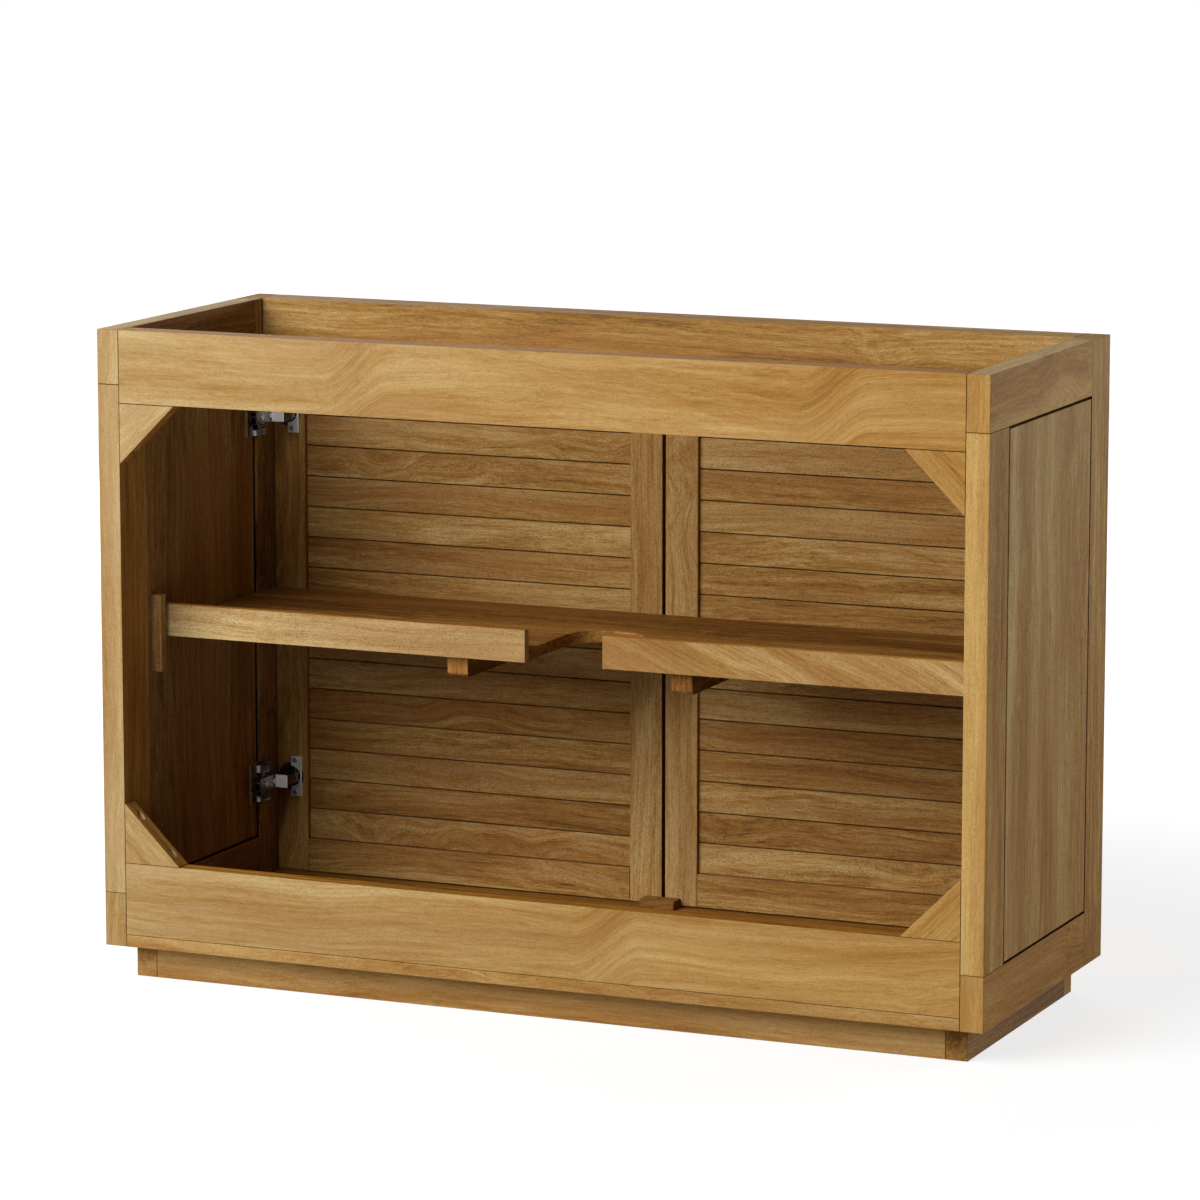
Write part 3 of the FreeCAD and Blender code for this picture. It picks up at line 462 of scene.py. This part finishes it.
# Each row: the node, where it lay in its log, figure, tone, slope, joined sides, straw, contrast,
# then the tone and straw of its top face, which on the rear rails and the bottom board is painted
# darker and more orange as shade.
for node, cut, figure, tone, slope, ends, straw, contrast, top_shade_tone, top_shade_straw in (
        ("rear_top_rail", (0.6, -0.262, -0.835),
         0.3, 0.06, 0.06, "-x +x", None, 0.55, -0.24, -0.6),
        ("rear_bottom_rail", (2.9, -0.16, -0.02),
         0.3, 0.05, 0.06, "-x +x -z", None, 0.55, -0.22, -1.5),
        ("bottom_board", (4.4, 0.12, 0.06),
         0.3, 0.06, 0.05, "-x +x", -0.2, 0.7, -0.32, -0.6),
        ("front_face_rail", (6.1, 0.27, -0.79),
         0.35, 0.0, 0.05, "-x +x", 0.0, 0.8, 0.0, 0.0),
        ("front_stretcher", (8.3, 0.11, -0.70),
         0.3, -0.05, 0.05, "-x +x", 0.0, 0.9, -0.05, 0.0)):
    name = node.replace("_", " ")
    seams = joined(node, ends)
    dress(node, timber(name, ALONG_X, cut, figure, tone, slope, seams, None, straw, contrast,
                       knots=KNOTS.get(node, ())),
          (UP, timber(f"{name} top", ALONG_X, cut, figure, top_shade_tone, slope, seams,
                      straw=top_shade_straw, sheen=0.0 if node in DULL_TOPS else OIL_SHEEN)))

# ---------------------------------------------------------------------------
# Corner gussets: triangular blocks sawn with the grain along their long side,
# each screwed to the frame and to the rail through two counterbored holes.

for side, sign, outer, tone in (("right", 1, "+x", 0.04), ("left", -1, "-x", 0.10)):
    for level, up, seat in (("bottom", 1, "-z"), ("top", -1, "+z")):
        node = f"gusset_{side}_{level}"
        name = f"{side} {level} gusset"
        along_long_side = (0, math.radians(45) * sign * up, 0)
        cut = (1.3 * sign + 0.4 * up, 0.22, 0.35 * sign)
        # The sloping sawn face gets a darker, more orange copy of the wood as painted shade.
        sawn = facing(-sign * math.sqrt(0.5), 0, up * math.sqrt(0.5))
        dress(node, timber(name, along_long_side, cut, 0.3, tone, contrast=0.6, straw=None,
                           seams=joined(node, f"{outer} {seat}")),
              (sawn, timber(f"{name} edge", along_long_side, cut, 0.3, -0.14, straw=-1.0)))

# ---------------------------------------------------------------------------
# Shelf: a planed board with the plumbing notch, two lips glued to its rear
# edge, battens under it, cleats on the side panels behind it, and the block on
# the bottom board that stops the doors, toned dark as painted shade.

# The shelf board is toned dark as painted shade.
dress("shelf_board", timber("shelf board", ALONG_X, (3.7, 0.05, -0.36), 0.4, -0.33,
                            seams=joined("shelf_board", "-x +x"), straw=-0.6, contrast=1.25,
                            sheen=FAINT_SHEEN))
SKEW_GRAIN = (0, math.radians(24), 0)


def on_right(face):
    return face.center.x > 0


# Picks the left batten's rear end, which is painted in shadow.
def shaded_left_end(face):
    return REAR(face) and face.center.x < 0


# The lips' top faces are toned darker and more orange as painted shade.
cut = (5.9, -0.18, -0.41)
dress("shelf_lips", timber("left shelf lip", SKEW_GRAIN, cut, 0.5, 0.10, straw=0.2, contrast=0.8),
      (on_right, timber("right shelf lip", ALONG_X, cut, 0.5, 0.36, straw=0.5, contrast=1.0)),
      (UP, timber("shelf lips edge", ALONG_X, cut, 0.3, -0.04, straw=-1.4)))
# The battens are toned dark as painted shade under the shelf, and the left batten's rear end
# darker still as painted shadow.
dress("shelf_battens",
      timber("shelf battens", ALONG_Y, (2.2, 0.13, -0.33), 0.3, -0.36, straw=-0.4),
      (REAR, timber("right batten end", ALONG_Z, (2.9, 0.02, 0.33), 0.3, -0.12, straw=-0.5)),
      (shaded_left_end, timber("left batten end", ALONG_Z, (4.9, 0.02, 0.33), 0.3, -0.50, straw=-0.8)))
dress("shelf_cleats", timber("shelf cleats", ALONG_Z, (6.6, 0.09, 0.51), 0.2, 0.04))
dress("shelf_dowels", timber("shelf dowels", ALONG_X, (7.4, 0.19, -0.44), 0.1, 0.1))
cut = (8.8, 0.24, 0.02)
# The door stop is toned dark as painted shade, with its top less dark than its sides.
dress("door_stop", timber("door stop", ALONG_X, cut, 0.2, -0.45, straw=-0.3),
      (UP, timber("door stop top", ALONG_X, cut, 0.2, -0.28, straw=-0.3)))

# ---------------------------------------------------------------------------
# Plinth: four boards set back under the body, with the side boards running
# through to the back and the rear board fitted between them.

# The rear board is toned lighter as painted light, and the left board much darker as painted
# shade.
for node, grain, cut, ends, tone in (
        ("plinth_front", ALONG_X, (1.9, 0.21, 0.03), "", 0.0),
        ("plinth_rear", ALONG_X, (4.9, -0.12, 0.05), "-x +x", 0.13),
        ("plinth_right", ALONG_Y, (7.9, 0.51, 0.05), "-y", -0.06),
        ("plinth_left", ALONG_Y, (3.3, -0.61, 0.05), "-y", -0.33)):
    dress(node, timber(node.replace("_", " "), grain, cut, 0.3, tone, seams=joined(node, ends),
                       contrast=0.7))

# ---------------------------------------------------------------------------
# Doors: grooved stiles and rails round fifteen louvre slats. Every slat is cut
# from a different plank, so its figure and tone change from one to the next.

SLAT_COUNT = 15
SLAT_HALF_GAP = 0.00045
SLAT_TONGUE = 0.006

for side, turn, sign in (("right", 0.0, 1), ("left", 1.0, -1)):
    dress(f"door_{side}_hinge_stile",
          timber(f"{side} hinge stile", ALONG_Z, (2.6 + turn, 0.27, 0.49 + turn), 0.5, -0.05,
                 slope=0.09, straw=-0.5))
    cut = (6.4 + turn, 0.25, 0.07 + 0.1 * turn)
    # The meeting stile's edge towards the other door is toned dark as painted shadow in the gap
    # between the doors.
    dress(f"door_{side}_meeting_stile",
          timber(f"{side} meeting stile", ALONG_Z, cut, 0.35, 0.08 - 0.06 * turn),
          (facing(-sign, 0, 0), timber(f"{side} meeting stile edge", ALONG_Z, cut, 0.2, -0.5,
                                       sheen=0.0)))
    for level, cut in (("top", (1.1 + turn, 0.26, -0.70)), ("bottom", (8.1 + turn, 0.24, -0.03))):
        node = f"door_{side}_{level}_rail"
        dress(node, timber(f"{side} door {level} rail", ALONG_X, cut, 0.35, 0.0,
                           seams=joined(node, "-x +x")))
    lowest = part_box(f"door_{side}_bottom_rail")
    rail_high = lowest[1][2] - lowest[0][2]
    louvre_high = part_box(f"door_{side}_hinge_stile")[1][2] - rail_high - lowest[1][2]
    node = f"door_{side}_slats"
    dress(node, timber(f"{side} slats", ALONG_X, (4.2 + turn, 0.24, -0.40), 0.5, 0.01, 0.12,
                       joined(node, "-x +x", SLAT_TONGUE),
                       (lowest[1][2], louvre_high / SLAT_COUNT, SLAT_HALF_GAP), -0.15, 1.1))

# ---------------------------------------------------------------------------
# Concealed hinges: dark plated arms, plates and cups with satin nickel flanges
# and crank caps, on wooden packers, all held by zinc plated screws.


CLOUD_WAVES, CLOUD_FROM, CLOUD_TO = (160, 160, 160), 0.2, 0.8
SMOOTHER, ROUGHER = 0.05, 0.08


def plated(name, colour, roughness, smudge):
    """Plated pressed steel with a slightly uneven sheen. smudge is how much darker its dull
    places are."""
    material = bpy.data.materials.new(name)
    material.use_nodes = True
    tree = material.node_tree
    shader = tree.nodes["Principled BSDF"]
    shader.inputs["Metallic"].default_value = 1.0
    place = tree.nodes.new("ShaderNodeTexCoord")
    cloud = noise(tree, place.outputs["Object"], CLOUD_WAVES, 3)
    dull = tuple(channel * (1 - smudge) for channel in colour) + (1,)
    wire(tree, blend(tree, cloud, dull, colour + (1,)), shader.inputs["Base Color"])
    wire(tree, remap(tree, cloud, CLOUD_FROM, CLOUD_TO, roughness - SMOOTHER,
                     roughness + ROUGHER), shader.inputs["Roughness"])
    return material


dark_nickel = plated("dark nickel", (0.17, 0.15, 0.14), 0.26, 0.3)
satin_nickel = plated("satin nickel", (0.80, 0.80, 0.80), 0.42, 0.12)
cap_nickel = plated("brushed nickel", (0.86, 0.85, 0.84), 0.52, 0.06)
zinc = plated("zinc plate", (0.55, 0.53, 0.50), 0.30, 0.25)
dark_zinc = plated("dark zinc plate", (0.34, 0.33, 0.32), 0.32, 0.25)

for side in ("right", "left"):
    dress(f"hinge_{side}_packers",
          timber(f"{side} packers", ALONG_Z, (5.5, 0.15, 0.53), 0.2, -0.04, straw=-0.6))
    dress(f"hinge_{side}_plates", dark_nickel)
    dress(f"hinge_{side}_arms", dark_nickel)
    dress(f"hinge_{side}_crank_caps", cap_nickel)
    dress(f"hinge_{side}_screws", zinc)
    dress(f"door_{side}_hinge_cups", dark_nickel)
    dress(f"door_{side}_hinge_flanges", satin_nickel)
    dress(f"door_{side}_cup_screws", dark_zinc)
    dress(f"door_{side}_hinge_links", dark_nickel)
dress("gusset_screws", zinc)
dress("door_stop_screw", zinc)

# ---------------------------------------------------------------------------
# Clips of the mounting plates: on each tower a pressed cover with a sunk
# window and two ribs, a bright release tab at its rear and a small lever.

# The plates' towers: their face towards the middle, their ends and their heights
# above and below the middle of the plate.
HALF_PLATE = 0.027
TOWER_FACE, TOWER_REAR, TOWER_AHEAD = 0.5681, -0.139, -0.167
TOWER_LOW, TOWER_HIGH = 0.013, 0.027
PRESSED_EDGE, SUNK_IN = 0.0004, 0.0002
COVER_INSET, COVER_THICK, COVER_LIP, WINDOW_DEEP = 0.0012, 0.0013, 0.0022, 0.0009
RIB_STARTS, RIB_WIDE, RIB_INSET = (-0.160, -0.1505), 0.004, 0.003
RIB_SEAT, RIB_TOP = 0.0003, 0.0017
TAB_EDGE, TAB_OUT, TAB_UNDER = 0.0005, 0.0014, 0.0012
TAB_FROM, TAB_TO = 0.0008, 0.0058
LEVER_SEAT, LEVER_OUT, LEVER_AHEAD, LEVER_REAR = 0.0060, 0.0020, 0.0080, 0.0010
LEVER_TOP, LEVER_FOOT = 0.0012, 0.0030
# The lever's two bends, as steps inwards, to the rear and towards its tower.
LEVER_BENDS = ((0.0016, 0.0035, 0.0018), (0.0012, 0.0015, 0.0026))


def block(name, corner, opposite, edge):
    """A box between two corners, with its edges rounded off."""
    bpy.ops.object.select_all(action="DESELECT")
    middle = [(a + b) / 2 for a, b in zip(corner, opposite)]
    bpy.ops.mesh.primitive_cube_add(size=1, location=middle)
    piece = bpy.context.object
    piece.name = name
    piece.scale = [abs(a - b) for a, b in zip(corner, opposite)]
    bpy.ops.object.transform_apply(location=True, rotation=True, scale=True)
    soften = piece.modifiers.new("rounding", "BEVEL")
    soften.width = edge
    soften.segments = 2
    bpy.ops.object.modifier_apply(modifier=soften.name)
    return piece


def pick_face(piece, direction):
    """Selects the one face that lies furthest in a direction, in edit mode."""
    bpy.ops.object.mode_set(mode="EDIT")
    bpy.ops.mesh.select_all(action="DESELECT")
    bpy.ops.object.mode_set(mode="OBJECT")
    aim = Vector(direction)
    faces = [face for face in piece.data.polygons if face.normal.dot(aim) > 0.99]
    max(faces, key=lambda face: face.area).select = True
    bpy.ops.object.mode_set(mode="EDIT")
    bpy.ops.mesh.select_mode(type="FACE")


def merge(pieces):
    """Joins pieces into the first of them."""
    bpy.ops.object.select_all(action="DESELECT")
    for piece in pieces:
        piece.select_set(True)
    bpy.context.view_layer.objects.active = pieces[0]
    bpy.ops.object.join()
    return bpy.context.object


for side, sign in (("right", 1), ("left", -1)):
    covers, tabs = [], []
    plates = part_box(f"hinge_{side}_plates")
    for middle in (plates[0][2] + HALF_PLATE, plates[1][2] - HALF_PLATE):
        for up in (1, -1):
            low = middle + up * (TOWER_LOW + COVER_INSET)
            high = middle + up * (TOWER_HIGH - COVER_INSET)
            cover = block(f"hinge_{side}_clip_covers",
                          (sign * (TOWER_FACE + SUNK_IN), TOWER_REAR - COVER_INSET, low),
                          (sign * (TOWER_FACE - COVER_THICK), TOWER_AHEAD + COVER_INSET, high),
                          PRESSED_EDGE)
            pick_face(cover, (-sign, 0, 0))
            bpy.ops.mesh.inset(thickness=COVER_LIP)
            bpy.ops.transform.translate(value=(sign * WINDOW_DEEP, 0, 0))
            bpy.ops.object.mode_set(mode="OBJECT")
            covers.append(cover)
            for rib in RIB_STARTS:
                covers.append(block("clip rib",
                                    (sign * (TOWER_FACE - RIB_SEAT), rib, low + up * RIB_INSET),
                                    (sign * (TOWER_FACE - RIB_TOP), rib + RIB_WIDE,
                                     high - up * RIB_INSET), PRESSED_EDGE))
            tabs.append(block(f"hinge_{side}_clip_tabs",
                              (sign * (TOWER_FACE + TAB_FROM), TOWER_REAR - SUNK_IN,
                               low + up * TAB_UNDER),
                              (sign * (TOWER_FACE + TAB_TO), TOWER_REAR + TAB_OUT,
                               high - up * PRESSED_EDGE), TAB_EDGE))
            lever = block("clip lever",
                          (sign * (TOWER_FACE + LEVER_SEAT), TOWER_REAR - LEVER_AHEAD,
                           low - up * LEVER_TOP),
                          (sign * (TOWER_FACE - LEVER_OUT), TOWER_REAR + LEVER_REAR,
                           low - up * LEVER_FOOT), PRESSED_EDGE)
            pick_face(lever, (0, 1, 0))
            for inwards, rearwards, along in LEVER_BENDS:
                bpy.ops.mesh.extrude_region_move(
                    TRANSFORM_OT_translate={"value": (-sign * inwards, rearwards, up * along)})
            bpy.ops.object.mode_set(mode="OBJECT")
            covers.append(lever)
    for pieces, metal, slot in ((covers, dark_nickel, "dark_nickel"),
                                (tabs, cap_nickel, "bright_nickel")):
        whole = merge(pieces)
        whole.data.materials.clear()
        whole.data.materials.append(metal)
        for polygon in whole.data.polygons:
            polygon.use_smooth = False
        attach(whole, "carcass")

# ---------------------------------------------------------------------------
# Studio: a pale floor that runs out into a white surround, a broad soft lamp
# over the open back, and two weaker ones that light the front and both sides.

FLOOR_SIZE, FLOOR_DROP = 30.0, 0.0005
FLOOR_PALE, FLOOR_SEEN = (0.62, 0.62, 0.62, 1), (0.35, 0.35, 0.35, 1)
FLOOR_ROUGH, FLOOR_SHEEN = 0.9, 0.1
FLOOR_GLOW_NEAR, FLOOR_GLOW_FAR = 0.76, 1.0
GLOW_FROM, GLOW_TO = 0.9, 2.4
WORLD_LIGHT, WORLD_SHOWN = 0.02, 1.0
WHITE = (1, 1, 1, 1)


def shown_rays(tree):
    """One for the rays that show a surface to the camera, straight or in metal and glass."""
    rays = tree.nodes.new("ShaderNodeLightPath").outputs
    return maths(tree, "MAXIMUM", rays["Is Camera Ray"],
                 maths(tree, "MAXIMUM", rays["Is Glossy Ray"], rays["Is Transmission Ray"]))


bpy.ops.object.select_all(action="DESELECT")
bpy.ops.mesh.primitive_plane_add(size=FLOOR_SIZE, location=(0, 0, -FLOOR_DROP))
floor = bpy.context.object
floor.name = "studio_floor"
ground = bpy.data.materials.new("pale floor")
ground.use_nodes = True
tree = ground.node_tree
shader = tree.nodes["Principled BSDF"]
shader.inputs["Roughness"].default_value = FLOOR_ROUGH
shader.inputs["Specular IOR Level"].default_value = FLOOR_SHEEN
shader.inputs["Emission Color"].default_value = WHITE
place = tree.nodes.new("ShaderNodeTexCoord").outputs["Object"]
reach = tree.nodes.new("ShaderNodeVectorMath")
reach.operation = "LENGTH"
wire(tree, place, reach.inputs[0])
shown = shown_rays(tree)
wire(tree, blend(tree, shown, FLOOR_PALE, FLOOR_SEEN), shader.inputs["Base Color"])
glow = remap(tree, reach.outputs["Value"], GLOW_FROM, GLOW_TO, FLOOR_GLOW_NEAR, FLOOR_GLOW_FAR)
wire(tree, maths(tree, "MULTIPLY", shown, glow), shader.inputs["Emission Strength"])
floor.data.materials.append(ground)

world = bpy.data.worlds.new("studio")
bpy.context.scene.world = world
world.use_nodes = True
tree = world.node_tree
background = tree.nodes["Background"]
background.inputs["Color"].default_value = WHITE
wire(tree, remap(tree, shown_rays(tree), 0, 1, WORLD_LIGHT, WORLD_SHOWN),
     background.inputs["Strength"])


def softbox(name, place, aim, size, power):
    """A rectangular lamp, in metres and watts, turned to face a point."""
    data = bpy.data.lights.new(name, "AREA")
    data.shape = "RECTANGLE"
    data.size, data.size_y = size
    data.energy = power
    lamp = bpy.data.objects.new(name, data)
    bpy.context.scene.collection.objects.link(lamp)
    lamp.location = place
    lamp.rotation_mode = "QUATERNION"
    lamp.rotation_quaternion = (Vector(aim) - Vector(place)).to_track_quat("-Z", "Y")
    return lamp


MID_HEIGHT = 0.45
softbox("key", (1.95, 3.92, 3.03), (0, 0.1, MID_HEIGHT), (3.6, 3.4), 300)
for name, sign in (("left fill", -1), ("right fill", 1)):
    softbox(name, (sign * 3.18, -3.79, 0.80), (0, 0, MID_HEIGHT), (3.0, 0.9), 118)

CAMERA_AZIMUTH = 203.41
CAMERA_ELEVATION = 9.447
CAMERA_DISTANCE = 6.997
CAMERA_LENS, CAMERA_SENSOR = 162.1, 36
CAMERA_AIM = Vector((0.0019, 0.0, 0.5091))

azimuth, elevation = math.radians(CAMERA_AZIMUTH), math.radians(CAMERA_ELEVATION)
back = Vector((math.sin(azimuth) * math.cos(elevation),
               -math.cos(azimuth) * math.cos(elevation), math.sin(elevation)))
lens = bpy.data.cameras.new("camera")
lens.lens = CAMERA_LENS
lens.sensor_width = CAMERA_SENSOR
camera = bpy.data.objects.new("camera", lens)
bpy.context.scene.collection.objects.link(camera)
camera.location = CAMERA_AIM + back * CAMERA_DISTANCE
camera.rotation_mode = "QUATERNION"
camera.rotation_quaternion = (-back).to_track_quat("-Z", "Y")
bpy.context.scene.camera = camera
bpy.context.scene.view_settings.view_transform = "Standard"
